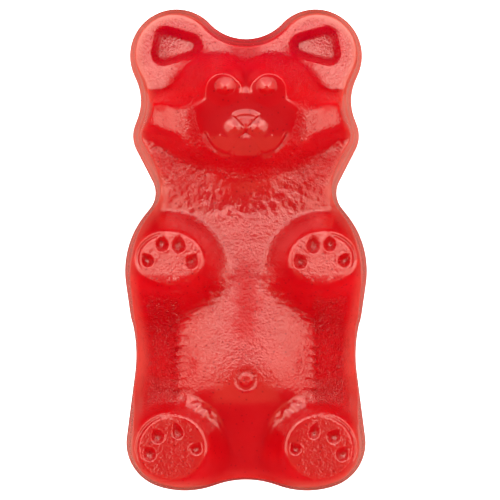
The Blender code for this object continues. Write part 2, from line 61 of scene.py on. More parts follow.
# Places along the bear, with the height, half width and side height of its barrel.
BODY_STATIONS = (
    # y, ridge, half width, side
    (-64.0, 12.0, 24.0, 2.0),
    (-57.0, 18.5, 27.5, 2.0),
    (-50.0, 25.0, 28.6, 2.2),
    (-43.0, 29.6, 29.0, 2.4),
    (-37.0, 32.3, 29.0, 2.5),
    (-32.0, 33.0, 29.1, 2.6),
    (-26.0, 32.2, 29.3, 2.7),
    (-19.0, 30.6, 29.5, 2.9),
    (-8.0, 27.8, 30.0, 4.0),
    (4.0, 25.0, 28.5, 8.0),
    (10.0, 23.7, 29.0, 11.5),
    (16.0, 23.0, 30.0, 15.0),
    (24.0, 22.4, 30.0, 15.0),
    (34.0, 17.0, 31.0, 12.0),
    (50.0, 4.0, 31.0, 3.0),
)

# The belly patch stands proud of the sides by a small step along its edge.
PATCH_STEP = 0.7
FLANK_FALL = 0.3
FLANK_FLOOR = 9.0  # the flanks come no lower than this
PATCH_EDGE = (
    # y, half width
    (-46.0, 11.0),
    (-38.0, 18.0),
    (-29.0, 18.6),
    (-20.0, 17.9),
    (-15.0, 12.5),
    (-10.0, 7.5),
    (-6.0, 6.5),
)

THROAT_TOP = 28.2
THROAT_FALL = 0.66
THROAT_Y = 24.5

FACE_HEIGHT = 29.4
CHEEK_FALL = ((0.0, 0.0), (15.0, 0.0), (18.0, 1.0), (21.5, 3.2), (25.8, 6.5), (29.0, 11.5))
CHIN = ((0.0, 35.0), (30.5, 15.0))
CHIN_FALL = 0.02
CHIN_EDGE_WIDTH = 3.8
JAW_EDGE_WIDTH = 7.0
CHIN_EDGE_SLOPE = 1.6
JAW_EDGE_SLOPE = 1.3
# The brow is the face's upper edge, an arch over each eye that ends at the nose's bridge.
BROW_CENTRE = (6.0, 41.4)
BROW_RADIUS = 4.9
BRIDGE_HALF_WIDTH = 1.5
BRIDGE_Y = 40.9
BRIDGE_FALL = 0.45
FOREHEAD_WIDTH = 5.8  # of the slope between the brow and the crown
TEMPLE_WIDENING = 3.9  # how much wider that slope gets at the side of the head
TEMPLE_EDGE = ((10.0, 39.6), (14.0, 37.2), (17.5, 36.2), (22.0, 37.0), (28.0, 35.6))
TEMPLE_SLOPE = 0.85
TEMPLE_CURVE = 0.045
TEMPLE_STEEPENING = 0.35  # for each millimetre that the temple lies beyond TEMPLE_X
TEMPLE_X = 16.0
FOREHEAD_DROP = 14.0

EAR_CORNERS = ((21.2, 55.6), (14.6, 53.6), (21.9, 51.8))
EAR_RIM_RADIUS = 3.35
EAR_FLOOR_CORNERS = ((20.5, 54.9), (15.4, 53.5), (21.2, 51.7))
EAR_FLOOR_RADIUS = 1.6
EAR_DEPTH = 3.2

EYE = (5.4, 42.6)
EYE_HALF = (2.7, 2.4)
EYE_HEIGHT = 1.3

NOSE = (0.0, 33.3)
NOSE_HALF = (4.2, 2.6)
NOSE_POINT_Y = 31.2
NOSE_SIDE_SLOPE = 1.1
NOSE_HEIGHT = 0.6
NOSE_CREASE = 0.4
LOBE = (3.0, 31.8)
LOBE_HALF = (1.7, 1.4)
LOBE_HEIGHT = 0.7
MUZZLE_HEIGHT = 0.5
LIPS_TOP = (0.3, 30.7)
LIPS_END = (3.8, 26.2)
SMILE_CENTRE = (3.3, 32.3)
SMILE_RADIUS = 7.5

NAVEL_Y = -33.7
NAVEL_MOAT = 2.1
NAVEL_RING = 1.3

# Arms and feet are stubs that end in a flat pad with four hollow toes.
ARM_PAD = {
    "centre": (20.1, -2.1),
    "half": (8.6, 6.9),
    "height": 33.16,
    "fall_out": 0.21,
    "fall_up": 0.13,
    "side": 1.5,
    "upper_side": 2.6,
    "toe_depth": 3.2,
    "edge": 2.0,
    "lower_edge": 2.8,
}
FOOT_PAD = {
    "centre": (19.4, -51.5),
    "half": (9.4, 9.1),
    "height": 32.4,
    "fall_out": 0.10,
    "fall_up": -0.06,
    "side": 2.2,
    "upper_side": 3.2,
    "toe_depth": 2.8,
    "edge": 3.5,
    "lower_edge": 4.5,
}
PADS = (ARM_PAD, FOOT_PAD)
SKIRT_HEIGHT = 3.0
SKIRT_REACH = 6.0
PAD_GROOVE = 0.7  # depth of the groove along each pad's outer side
TOE_FLOOR = 1.0  # radius of the hollow's round bottom
# Toe: centre x, y, radius, then the point of its claw.
PAW_TOES = (
    (25.5, -2.8, 2.0, 27.2, -0.6),
    (21.8, 1.4, 2.1, 22.0, 4.6),
    (17.5, 1.0, 2.2, 16.9, 4.3),
    (14.1, -3.1, 2.2, 12.5, -0.7),
)
FOOT_TOES = (
    (22.9, -48.5, 2.15, 24.4, -46.3),
    (17.7, -47.6, 1.85, 18.6, -44.2),
    (25.0, -53.1, 2.1, 26.8, -51.0),
    (12.9, -51.7, 1.85, 11.6, -49.6),
)


# ---------------------------------------------------------------- small helpers


def smooth_step(low, high, value):
    """0 at low, 1 at high, and an even S between them."""
    t = np.clip((value - low) / (high - low), 0.0, 1.0)
    return t * t * (3.0 - 2.0 * t)


def smooth_max(a, b, blend):
    """The larger of two heights, with a fillet where they cross."""
    return np.maximum(a, b) + np.maximum(blend - np.abs(a - b), 0.0) ** 2 / (4.0 * blend)


def smooth_min(a, b, blend):
    """The smaller of two heights, with a rounded edge where they cross."""
    return -smooth_max(-a, -b, blend)


def bell(distance, width):
    """A soft bump, 1 at no distance and almost 0 at twice the width."""
    return np.exp(-((distance / width) ** 2))


def through(value, places, heights):
    """A smooth curve through the heights at the places, with no overshoot."""
    places = np.asarray(places)
    heights = np.asarray(heights)
    step = np.diff(places)
    slope = np.diff(heights) / step
    tangent = np.concatenate([slope[:1], (slope[1:] + slope[:-1]) / 2, slope[-1:]])
    same_way = slope[1:] * slope[:-1] > 0
    steepest = 2 * np.minimum(abs(slope[1:]), abs(slope[:-1]))
    limited = np.sign(slope[1:]) * np.minimum(abs(tangent[1:-1]), steepest)
    tangent[1:-1] = np.where(same_way, limited, 0.0)
    i = np.clip(np.searchsorted(places, value) - 1, 0, len(step) - 1)
    t = np.clip((value - places[i]) / step[i], 0.0, 1.0)
    rise = heights[i] + (heights[i + 1] - heights[i]) * t * t * (3.0 - 2.0 * t)
    lean_in = tangent[i] * t * (1.0 - t) ** 2
    lean_out = tangent[i + 1] * t * t * (1.0 - t)
    return rise + step[i] * (lean_in - lean_out)


def from_segment(x, y, start, end):
    """Distance to a straight line between two points, and how far along it (0 to 1)."""
    dx = end[0] - start[0]
    dy = end[1] - start[1]
    along = np.clip(((x - start[0]) * dx + (y - start[1]) * dy) / (dx * dx + dy * dy), 0.0, 1.0)
    return np.hypot(x - start[0] - along * dx, y - start[1] - along * dy), along


def from_arc(x, y, centre, radius, first, last):
    """Distance to an arc that runs anticlockwise between two angles, and how far along."""
    turn = np.degrees(np.arctan2(y - centre[1], x - centre[0]))
    along = np.clip(((turn - first + 90.0) % 360.0 - 90.0) / (last - first), 0.0, 1.0)
    angle = np.radians(first + along * (last - first))
    near_x = centre[0] + radius * np.cos(angle)
    near_y = centre[1] + radius * np.sin(angle)
    return np.hypot(x - near_x, y - near_y), along


def inside_ellipse(x, y, centre, half):
    """About how far inside an ellipse's edge a point lies, less than 0 outside."""
    u = (x - centre[0]) / half[0]
    v = (y - centre[1]) / half[1]
    reach = np.sqrt(u * u + v * v) + 1e-9
    slope = np.sqrt((u / half[0]) ** 2 + (v / half[1]) ** 2) / reach
    return (1.0 - reach) / np.maximum(slope, 1e-3)


def inside_triangle(x, y, corners, radius):
    """How far inside a triangle with rounded corners a point lies, less than 0 outside."""
    distance = np.full(np.shape(x), np.inf)
    within = np.ones(np.shape(x), bool)
    for start, end in zip(corners, corners[1:] + corners[:1]):
        distance = np.minimum(distance, from_segment(x, y, start, end)[0])
        turn = (end[0] - start[0]) * (y - start[1]) - (end[1] - start[1]) * (x - start[0])
        within &= turn > 0
    return np.where(within, distance, -distance) + radius


# ---------------------------------------------------------------- the outline


def belt_headings():
    """Direction of travel on each straight stretch of the belt, from peg to peg."""
    headings = [0.0]
    for (x1, y1, r1), (x2, y2, r2) in zip(OUTLINE_PEGS, OUTLINE_PEGS[1:]):
        apart = math.hypot(x2 - x1, y2 - y1)
        lean = math.asin(max(-1.0, min(1.0, (r2 - r1) / apart)))
        headings.append(math.atan2(y2 - y1, x2 - x1) + lean)
    headings.append(-math.pi)
    return headings


def half_outline(step):
    """Points of the belt from the crown to the crotch, each with its outward normal."""
    headings = belt_headings()
    points = []
    for (x, y, radius), start, end in zip(OUTLINE_PEGS, headings, headings[1:]):
        # Travel is clockwise: the belt turns right round the jelly and left round a dip.
        turn = (end - start) % math.tau
        if radius > 0:
            turn -= math.tau
        steps = max(1, math.ceil(abs(turn * radius) / step))
        for k in range(steps + 1):
            heading = start + turn * k / steps
            out_x = -math.sin(heading)
            out_y = math.cos(heading)
            points.append((x + radius * out_x, y + radius * out_y, out_x, out_y))
    return points


def fill_straights(points, step):
    """Adds points on the straight stretches, and drops any that repeat."""
    filled = [points[0]]
    for point in points[1:]:
        last = filled[-1]
        length = math.hypot(point[0] - last[0], point[1] - last[1])
        if length < 0.2 * step:
            continue
        parts = max(1, round(length / step))
        for k in range(1, parts + 1):
            share = k / parts
            filled.append(tuple(a + (b - a) * share for a, b in zip(last, point)))
    return filled


def outline(step):
    """The closed outline, clockwise, as rows of x, y and the outward normal."""
    right = fill_straights(half_outline(step), step)
    left = [(-x, y, -out_x, out_y) for x, y, out_x, out_y in reversed(right[1:-1])]
    return np.array(right + left)


def inset(ring, depth):
    """The outline moved inwards by a depth."""
    return ring[:, :2] - depth * ring[:, 2:]


def depth_inside(x, y, ring):
    """Distance from each point to the outline, for points that lie inside it."""
    depth = np.full(len(x), np.inf)
    for start, end in zip(ring[:, :2], np.roll(ring[:, :2], -1, axis=0)):
        depth = np.minimum(depth, from_segment(x, y, start, end)[0])
    return depth


# ---------------------------------------------------------------- heights of the front


def body(x, y):
    """The barrel of the trunk, from the feet to the neck, with the belly's patch."""
    places, ridges, halves, sides = zip(*BODY_STATIONS)
    ridge = through(y, places, ridges)
    half = through(y, places, halves)
    side = through(y, places, sides)
    across = np.clip(x / half, 0.0, 1.0)
    barrel = side + (ridge - side) * np.sqrt(1.0 - across**2)
    edge = through(y, *zip(*PATCH_EDGE))
    into_flank = x - edge - belly_tufts(x, y)
    below = PATCH_STEP * smooth_step(-0.3, 0.8, into_flank) * smooth_step(-13.0, -16.0, y)
    below = below + FLANK_FALL * smooth_max(x - edge, 0.0, 2.0) * smooth_step(-8.0, -16.0, y)
    return smooth_max(barrel - below, FLANK_FLOOR, 6.0)


def foot_skirt(x, y):
    """The soft rise of the belly towards each foot."""
    out = -inside_ellipse(x, y, FOOT_PAD["centre"], FOOT_PAD["half"])
    return SKIRT_HEIGHT * smooth_step(SKIRT_REACH, 1.0, out)


def throat(x, y):
    """The fold of chin and throat that runs down onto the chest."""
    below = np.maximum(THROAT_Y - y, 0.0)
    above = np.maximum(y - THROAT_Y - 5.0, 0.0)
    return THROAT_TOP - THROAT_FALL * below - above - 0.045 * x * x


def navel(x, y):
    """A small ring with a dimple in it, and a moat round it."""
    away = np.hypot(x, y - NAVEL_Y)
    moat = 0.55 * bell(away - NAVEL_MOAT, 0.9)
    ring = 0.15 * bell(away - NAVEL_RING, 0.4)
    return ring - moat - 0.3 * bell(away, 0.7)


def forehead_width(turn):
    """Width of the slope beyond the brow, 90 degrees over the eyes and 0 at the temple."""
    return FOREHEAD_WIDTH + TEMPLE_WIDENING * np.exp(-turn / 20.0)


def forehead_fall(x, y):
    """How far the slope beyond the brow lies below the face."""
    across = smooth_max(x, BRIDGE_HALF_WIDTH, 1.5) - BROW_CENTRE[0]
    up = np.maximum(y - BROW_CENTRE[1], 0.0)
    beyond = smooth_max(np.hypot(across, up) - BROW_RADIUS, 0.0, 0.6)
    share = beyond / forehead_width(np.degrees(np.arctan2(up, np.maximum(across, 0.0))))
    slope = TEMPLE_SLOPE + TEMPLE_STEEPENING * smooth_max(x - TEMPLE_X, 0.0, 2.0)
    over = y - through(x, *zip(*TEMPLE_EDGE))
    roundness = 0.6 + 2.4 * smooth_step(13.0, 18.0, x)
    temple = smooth_max(slope * over + TEMPLE_CURVE * np.abs(over) * over, 0.0, roundness)
    return smooth_min(FOREHEAD_DROP * share**0.75, temple, np.clip(temple, 0.001, 2.0))


def face_dome(x, y):
    """The face: flat in the middle, falling at forehead, cheeks and chin."""
    cheek = through(x, *zip(*CHEEK_FALL))
    chin = CHIN_FALL * np.maximum(32.0 - y, 0.0) ** 2
    middle = smooth_step(20.0, 11.0, x)
    edge_width = JAW_EDGE_WIDTH + (CHIN_EDGE_WIDTH - JAW_EDGE_WIDTH) * middle
    edge_slope = JAW_EDGE_SLOPE + (CHIN_EDGE_SLOPE - JAW_EDGE_SLOPE) * middle
    edge = smooth_max(edge_width - inside_ellipse(x, y, *CHIN), 0.0, 2.5)
    chin = chin + edge_slope * edge * smooth_step(34.0, 27.0, y)
    blend = 0.4 + 1.6 * smooth_step(15.0, 19.0, x)
    bridge = BRIDGE_FALL * np.clip(y - BRIDGE_Y, 0.0, 2.5) * smooth_step(49.0, 44.0, y)
    bridge = bridge * bell(x, BRIDGE_HALF_WIDTH)
    return FACE_HEIGHT - chin - bridge - smooth_max(cheek, forehead_fall(x, y), blend)


def eyes(x, y):
    """A round ball, and the thin edges of the nose's bridge."""
    away = ((x - EYE[0]) / EYE_HALF[0]) ** 2 + ((y - EYE[1]) / EYE_HALF[1]) ** 2
    lean = 1.0 - 0.35 * (y - EYE[1]) / EYE_HALF[1]
    ball = EYE_HEIGHT * lean * np.maximum(1.0 - away, 0.0) ** 1.2
    to_edge, _ = from_arc(x, y, BROW_CENTRE, BROW_RADIUS - 0.1, 150.0, 185.0)
    return ball + 0.2 * bell(to_edge, 0.3)


def muzzle(x, y):
    """The snout's swelling, its two lobes and the three-cornered nose."""
    away = (x / 11.0) ** 2 + ((y - 30.5) / 8.0) ** 2
    swelling = MUZZLE_HEIGHT * np.maximum(1.0 - away, 0.0) ** 1.5
    from_lobe = np.hypot((x - LOBE[0]) / LOBE_HALF[0], (y - LOBE[1]) / LOBE_HALF[1])
    lobe = LOBE_HEIGHT * bell(from_lobe, 1.0)
    into_point = (y - NOSE_POINT_Y - NOSE_SIDE_SLOPE * x) / math.hypot(1.0, NOSE_SIDE_SLOPE)
    into_arch = inside_ellipse(x, y, NOSE, NOSE_HALF)
    into_nose = smooth_min(into_arch, into_point, 0.5)
    nose = NOSE_HEIGHT * smooth_step(-0.7, 0.7, into_nose)
    tip = 0.12 * np.clip(34.6 - y, 0.0, 1.8) * bell(x, 1.0)
    side_crease = bell(into_point, 0.3) * smooth_step(31.6, 32.4, y) * smooth_step(35.4, 34.4, y)
    arch_crease = bell(into_arch - 1.0, 0.3) * smooth_step(0.2, 0.8, into_point)
    crease = NOSE_CREASE * np.maximum(side_crease, 0.7 * arch_crease)
    return swelling + lobe + nose + tip - crease


def mouth(x, y):
    """The open wedge under the nose, low at its top, and the groove of the smile."""
    run_x = LIPS_END[0] - LIPS_TOP[0]
    run_y = LIPS_END[1] - LIPS_TOP[1]
    into = (run_y * (x - LIPS_TOP[0]) - run_x * (y - LIPS_TOP[1])) / math.hypot(run_x, run_y)
    lowest = 0.3 + 0.5 * smooth_step(28.6, 30.4, y)
    wedge = lowest * smooth_step(-0.3, 0.35, into) * smooth_step(23.0, 27.5, y)
    to_smile, along = from_arc(x, y, SMILE_CENTRE, SMILE_RADIUS, -78.0, -17.0)
    outside = np.hypot(x - SMILE_CENTRE[0], y - SMILE_CENTRE[1]) > SMILE_RADIUS
    deep = 0.5 + 0.2 * (1.0 - along)
    smile = deep * bell(to_smile, np.where(outside, 0.85 - 0.35 * along, 0.3))
    return -wedge - smile


def head(x, y):
    """The face with all its features."""
    return face_dome(x, y) + muzzle(x, y) + eyes(x, y) + mouth(x, y)


def ears(x, y):
    """The low plateau of forehead and ears, with a three-cornered hollow in each ear."""
    outward = 0.25 * np.maximum(x - 4.0, 0.0) * smooth_step(39.0, 42.5, y)
    plateau = 17.4 - outward - 0.2 * (np.maximum(y, 42.0) - 49.0)
    into_rim = inside_triangle(x, y, EAR_CORNERS, EAR_RIM_RADIUS)
    into_floor = inside_triangle(x, y, EAR_FLOOR_CORNERS, EAR_FLOOR_RADIUS)
    wall = np.maximum(into_rim - into_floor, 0.6)
    hollow = EAR_DEPTH * smooth_min(smooth_max(into_rim / wall, 0.0, 0.2), 1.0, 0.2)
    return np.where(y > BROW_CENTRE[1] - 8.0, plateau - hollow, 0.0)


def toe(x, y, centre_x, centre_y, radius, claw_x, claw_y):
    """Depth of one hollow toe, 0 to 1: a pit that narrows to the point of its claw."""
    away, along = from_segment(x, y, (centre_x, centre_y), (claw_x, claw_y))
    edge = radius * (1.0 - 0.93 * smooth_step(-0.1, 1.05, along))
    inward = edge - np.hypot(away, TOE_FLOOR) + TOE_FLOOR * along
    return smooth_max(inward, 0.0, 0.2) / radius


def stub(x, y, pad, toes):
    """An arm or a foot: a flat pad on steep sides, with its toes pressed in."""
    centre_x, centre_y = pad["centre"]
    flat = pad["height"] - pad["fall_out"] * (x - centre_x) - pad["fall_up"] * (y - centre_y)
    depth = inside_ellipse(x, y, pad["centre"], pad["half"])
    upper = smooth_step(-pad["half"][1], 1.4 * pad["half"][1], y - centre_y)
    side = pad["side"] + (pad["upper_side"] - pad["side"]) * upper
    over = smooth_step(-0.7, 0.0, (y - centre_y) / pad["half"][1])
    edge = pad["lower_edge"] + (pad["edge"] - pad["lower_edge"]) * over
    stub_top = smooth_min(flat, flat + 0.9 + side * depth, edge)
    outer = over * smooth_step(-0.1, 0.55, (x - centre_x) / pad["half"][0])
    stub_top = stub_top - PAD_GROOVE * outer * bell(depth - 0.5, 0.45)
    for sizes in toes:
        stub_top = stub_top - pad["toe_depth"] * toe(x, y, *sizes)
    return stub_top


def front_height(x, y, depth):
    """Height of the bear's front over the back's plane."""
    x = np.abs(x)
    top = smooth_max(body(x, y) + foot_skirt(x, y), throat(x, y), 5.0)
    top = smooth_max(top, head(x, y), 3.0)
    top = smooth_max(top, ears(x, y), 1.6)
    top = smooth_max(top, stub(x, y, ARM_PAD, PAW_TOES), 4.0)
    top = smooth_max(top, stub(x, y, FOOT_PAD, FOOT_TOES), 6.0)
    trunk = smooth_step(25.0, 10.0, y)
    shoulder = SHOULDER_FALL * trunk * np.maximum(SHOULDER_WIDTH - depth, 0.0) ** 2
    top = top + navel(x, y) - shoulder
    slope = HEAD_WALL_SLOPE + (WALL_SLOPE - HEAD_WALL_SLOPE) * trunk
    return smooth_min(BACK_EDGE + slope * depth, top, WALL_BLEND)


# ---------------------------------------------------------------- fine relief

HIGHEST = 35.0  # the relief fades out towards this height
RELIEF_FADE = 0.35  # and has its full size from this far below it
GRAIN_START = (1.6, 3.4)  # between these depths inside the outline the grain begins
MARKS_START = (2.0, 3.6)  # and between these the fur, lips and wrinkles
LOCK_SPACING = 2.3  # between the locks of fur along the belly's edge
LOCK_LENGTH = 2.6
FUR_FAN_Y = 40.0  # on the middle line, the point the neck's strands fan out from
WALL_LINE_SHIFT = 0.09  # how far the lines move the wall in and out
WALL_LINE_SPACING = 1.25
NOISE_CELLS = 128  # the noise repeats after this many lumps


def cloudy(x, y, size, seed):
    """Smooth noise between -1 and 1, with lumps of about the given size."""
    cells = NOISE_CELLS
    table = np.random.default_rng(seed).uniform(-1.0, 1.0, (cells, cells))
    column = np.floor(x / size).astype(int)
    row = np.floor(y / size).astype(int)
    across = smooth_step(0.0, 1.0, x / size - column)
    up = smooth_step(0.0, 1.0, y / size - row)
    low = table[row % cells, column % cells] * (1.0 - across)
    low += table[row % cells, (column + 1) % cells] * across
    high = table[(row + 1) % cells, column % cells] * (1.0 - across)
    high += table[(row + 1) % cells, (column + 1) % cells] * across
    return low * (1.0 - up) + high * up


def between(low, high, value, soft):
    """1 between two limits and 0 outside them, with soft ends."""
    return smooth_step(low - soft, low, value) * smooth_step(high + soft, high, value)


def saw(value):
    """A row of rounded teeth: 0 to 1 over each whole number, then back at once."""
    part = value - np.floor(value)
    return part * smooth_step(1.0, 0.75, part)


def lock_phase(x, y):
    """Counts the drooping locks of fur along the belly's edge, one for each whole number."""
    return -(y + 0.15 * (x - 17.0) + 0.9 * cloudy(0.4 * x, y, 3.3, 11)) / LOCK_SPACING


def lock_variety(x, y):
    """How long the lock at each height is, against the usual one."""
    return 1.0 + 0.5 * cloudy(0.0 * x, y, 2.9, 12)


def belly_tufts(x, y):
    """How far the belly's edge reaches out into its pointed locks of fur."""
    fade = between(-38.0, -10.0, y, 1.5)
    length = LOCK_LENGTH * lock_variety(x, y)
    return fade * length * (saw(lock_phase(x, y)) - 0.5)


def belly_fur(x, y):
    """Relief of the locks just inside the belly's edge, and of those at its upper edge."""
    edge = through(y, *zip(*PATCH_EDGE))
    near = between(-2.5, 0.8, x - edge, 1.2) * between(-38.0, -13.0, y, 1.5)
    reach = np.hypot(x, y + 27.0)
    turn = np.arctan2(x, y + 27.0)
    upper = between(15.0, 20.5, reach, 1.5) * smooth_step(-22.0, -17.0, y) * smooth_step(2.0, 5.0, x)
    locks = cloudy(turn * 16.0, 0.4 * reach, 1.0, 35)
    return 0.4 * near * (saw(lock_phase(x, y)) - 0.5) + 0.2 * upper * locks


def neck_fur(x, y):
    """Strands that fan out from the chin over neck and chest."""
    down = FUR_FAN_Y - y
    reach = np.hypot(x, down)
    turn = np.arctan2(x, down)
    start = 17.0 - 4.0 * smooth_step(8.0, 14.0, np.abs(x))
    where = smooth_step(start - 1.5, start + 1.5, reach) * between(-1.0, 27.0, y, 3.0)
    where = where * (1.0 - 0.7 * smooth_step(8.0, 2.0, y))
    strands = cloudy(turn * 30.0, 0.7 * reach + 0.8 * cloudy(x, y, 2.0, 31), 0.8, 32)
    tufts = cloudy(turn * 15.0, reach, 1.8, 33)
    jaw = 1.0 + 1.5 * between(19.0, 28.0, y, 2.0) * smooth_step(9.0, 13.0, np.abs(x))
    return where * jaw * (0.08 * strands + 0.11 * tufts + 0.06 * cloudy(x, y, 0.8, 34))


def face_marks(x, y):
    """The slit and fold in the cheek, a dash beside the snout and the smile's ticks."""
    to_slit, _ = from_segment(x, y, (21.2, 28.6), (23.9, 29.4))
    to_fold, _ = from_segment(x, y, (21.0, 27.0), (24.7, 27.9))
    to_dash, _ = from_segment(x, y, (5.4, 29.3), (6.5, 29.8))
    marks = 0.3 * bell(to_fold, 0.7) - 0.6 * bell(to_slit, 0.5) + 0.14 * bell(to_dash, 0.35)
    for place in (3.2, 3.7, 4.2):
        to_tick, _ = from_segment(x, y, (place, 24.4), (place + 0.1, 25.5))
        marks = marks - 0.15 * bell(to_tick, 0.16)
    return marks


def toe_rims(x, y):
    """A fine raised lip round each toe's hollow."""
    rims = 0.0
    for toes in (PAW_TOES, FOOT_TOES):
        for centre_x, centre_y, radius, claw_x, claw_y in toes:
            away, along = from_segment(x, y, (centre_x, centre_y), (claw_x, claw_y))
            edge = radius * (1.0 - 0.93 * smooth_step(-0.1, 1.05, along))
            rims = np.maximum(rims, bell(away - edge + 0.05, 0.3))
    return 0.13 * rims * (0.6 + cloudy(x, y, 2.3, 61))


def foot_wrinkles(x, y):
    """Short wrinkles across the fold above each foot."""
    centre_x, centre_y = FOOT_PAD["centre"]
    turn = np.degrees(np.arctan2(y - centre_y, x - centre_x))
    out = -inside_ellipse(x, y, FOOT_PAD["centre"], FOOT_PAD["half"])
    where = between(1.6, 4.2, out, 1.2) * between(55.0, 140.0, turn, 12.0)
    return where * (0.3 * cloudy(turn / 4.0, out, 1.6, 41) + 0.15 * cloudy(x, y, 0.9, 42))


def roughness_of_mould(x, y):
    """How coarse the mould's grain is at each place, 1 on most of the front."""
    flank = between(17.5, 26.5, x, 1.5) * between(-42.0, -13.0, y, 4.0)
    belly = between(-33.0, 8.0, y, 2.0) * smooth_step(19.0, 17.0, x)
    ear = smooth_step(48.0, 51.0, y)
    sole = smooth_step(0.0, 1.0, inside_ellipse(x, y, FOOT_PAD["centre"], FOOT_PAD["half"]))
    away = np.hypot(x / 1.05, y - 36.0)
    mask = between(13.4, 17.0, away, 1.2) * smooth_step(12.0, 18.0, y)
    jaw = between(18.0, 25.0, y, 2.5) * smooth_step(9.0, 13.0, x)
    crease = bell(np.hypot((x - 13.6) / 1.6, (y + 30.0) / 3.2), 1.0)
    folds = bell(np.hypot((x - 16.2) / 2.4, (y + 36.5) / 3.0), 1.0)
    smooth_belly = smooth_step(-33.0, -37.0, y) * smooth_step(15.0, 11.0, x)
    outs = [-inside_ellipse(x, y, pad["centre"], pad["half"]) for pad in PADS]
    sides = np.maximum.reduce([bell(out - 1.5, 2.0) for out in outs])
    places = [1.6 * flank, 0.7 * mask, jaw, 1.2 * crease, folds]
    places += [0.5 * belly, 0.3 * ear, 0.1 * sole]
    coarse = 1.0 + 2.2 * np.maximum.reduce(places)
    middle = smooth_step(13.4, 12.2, np.hypot(x, y - 35.5))
    return coarse * (1.0 - 0.8 * np.maximum.reduce([smooth_belly, sides, middle]))


def grain(x, y, depth):
    """Small lumps over the moulded front, none on its walls."""
    lumps = 0.018 * cloudy(x, y, 2.3, 21) + 0.012 * cloudy(x, y, 1.1, 22)
    fine = 0.024 * cloudy(x, y, 0.7, 23)
    return roughness_of_mould(np.abs(x), y) * (lumps + fine) * smooth_step(*GRAIN_START, depth)


def wall_lines(x, y, depth):
    """Lines along the walls of head and arms, as a shift of the depth."""
    where = np.maximum(smooth_step(12.0, 20.0, y), between(-12.0, 6.0, y, 4.0))
    where = np.maximum(where, smooth_step(-40.0, -46.0, y))
    where = where * smooth_step(0.1, 0.7, depth)
    wander = depth + 0.2 * cloudy(x, y, 6.0, 51)
    return WALL_LINE_SHIFT * where * np.sin(wander * math.tau / WALL_LINE_SPACING)


def relief_height(x, y, depth):
    """Height of the front with its fine relief, which fades out near the highest places."""
    side = np.abs(x)
    marks = face_marks(side, y) + toe_rims(side, y) + belly_fur(side, y)
    marks = marks + foot_wrinkles(side, y) + neck_fur(x, y)
    marks = marks * smooth_step(*MARKS_START, depth)
    base = front_height(x, y, depth + wall_lines(x, y, depth))
    room_over = smooth_step(0.0, RELIEF_FADE, HIGHEST - base)
    return base + (marks + grain(x, y, depth)) * room_over


# ---------------------------------------------------------------- where the gloss is weaker

EYE_SPOT = (5.1, 43.2)  # where each eyeball shines
HAIRLINE = ((11.0, 51.8), (17.0, 47.8), (21.0, 41.8), (25.0, 39.8))  # over the temple
# The belly's edge as the gloss shows it, above and beside the locks: y, half width.
FUR_LINE = (
    (-34.0, 18.6),
    (-29.0, 18.5),
    (-23.0, 17.9),
    (-19.3, 17.3),
    (-16.3, 13.9),
    (-13.8, 10.9),
    (-10.8, 6.9),
    (-7.5, 3.9),
)
FUR_LENGTH = 2.8  # of the dull locks along that line


def head_dullness(x, y, ragged):
    """Dull patches round the face, in the ears' walls, over the temples and on the crown."""
    side = np.abs(x)
    away = np.hypot(x, y - 34.5) + 0.6 * ragged
    ring = between(12.4, 14.4, away, 1.4) * smooth_step(48.0, 42.0, y)
    temple = 0.9 * between(37.0, 41.0, y + 0.6 * ragged, 1.4) * between(12.0, 26.0, side, 2.0)
    eye = smooth_step(1.0, 2.0, np.hypot(side - EYE_SPOT[0], y - EYE_SPOT[1]))
    eye = eye * smooth_step(4.4, 4.0, np.hypot(side - BROW_CENTRE[0], y - BROW_CENTRE[1]))
    hairline = [from_segment(side, y, *ends)[0] for ends in zip(HAIRLINE, HAIRLINE[1:])]
    hairline = bell(np.minimum.reduce(hairline) + 0.6 * ragged, 1.4)
    ear = between(0.4, 2.1, inside_triangle(side, y, EAR_CORNERS, EAR_RIM_RADIUS), 0.4)
    ear = ear * smooth_step(40.0, 44.0, y)
    jowl = bell(np.hypot((side - 20.0) / 8.0, (y - 23.0 + ragged) / 3.6), 1.0)
    forehead = between(47.5, 51.5, y + 0.4 * ragged, 1.2) * smooth_step(8.0, 5.0, side)
    crown = 0.8 * smooth_step(50.0, 51.0, y) * smooth_step(6.5, 2.5, side + ragged)
    places = [ring, 0.8 * jowl, temple, 0.85 * eye, hairline, ear, forehead, crown]
    return np.maximum.reduce(places)


def body_dullness(x, y, ragged):
    """Dull patches on the neck, the breastbone and past the belly's locks of fur."""
    side = np.abs(x)
    neck = 0.5 * between(13.0, 21.0, y, 3.0) * smooth_step(-0.2, 0.5, cloudy(x, y, 2.6, 83))
    sternum = 0.8 * smooth_step(4.6, 1.0, side + ragged) * between(-20.0, -6.0, y, 6.0)
    crease = bell(np.hypot((side - 13.6) / 1.4, (y + 28.8) / 2.6), 1.0)
    crease = crease * smooth_step(-0.6, 0.2, cloudy(x, y, 0.6, 84))
    tooth = saw(lock_phase(side, y)) * lock_variety(side, y)
    past = side - through(y, *zip(*FUR_LINE)) - FUR_LENGTH * (tooth - 0.7) + 0.3 * ragged
    past = smooth_step(-0.3, 0.3, past) * between(-33.0, -7.0, y, 1.0)
    past = past * smooth_step(0.55, 0.25, cloudy(x, y, 0.55, 85))
    return np.maximum.reduce([neck, sternum, 0.8 * crease, past])


def dullness(x, y):
    """How much weaker the gloss is at each place, 0 on most of the front."""
    ragged = 1.1 * cloudy(x, y, 1.7, 81) + 1.3 * cloudy(x, y, 0.7, 82)
    return np.maximum(head_dullness(x, y, ragged), body_dullness(x, y, ragged))


# ---------------------------------------------------------------- the mesh

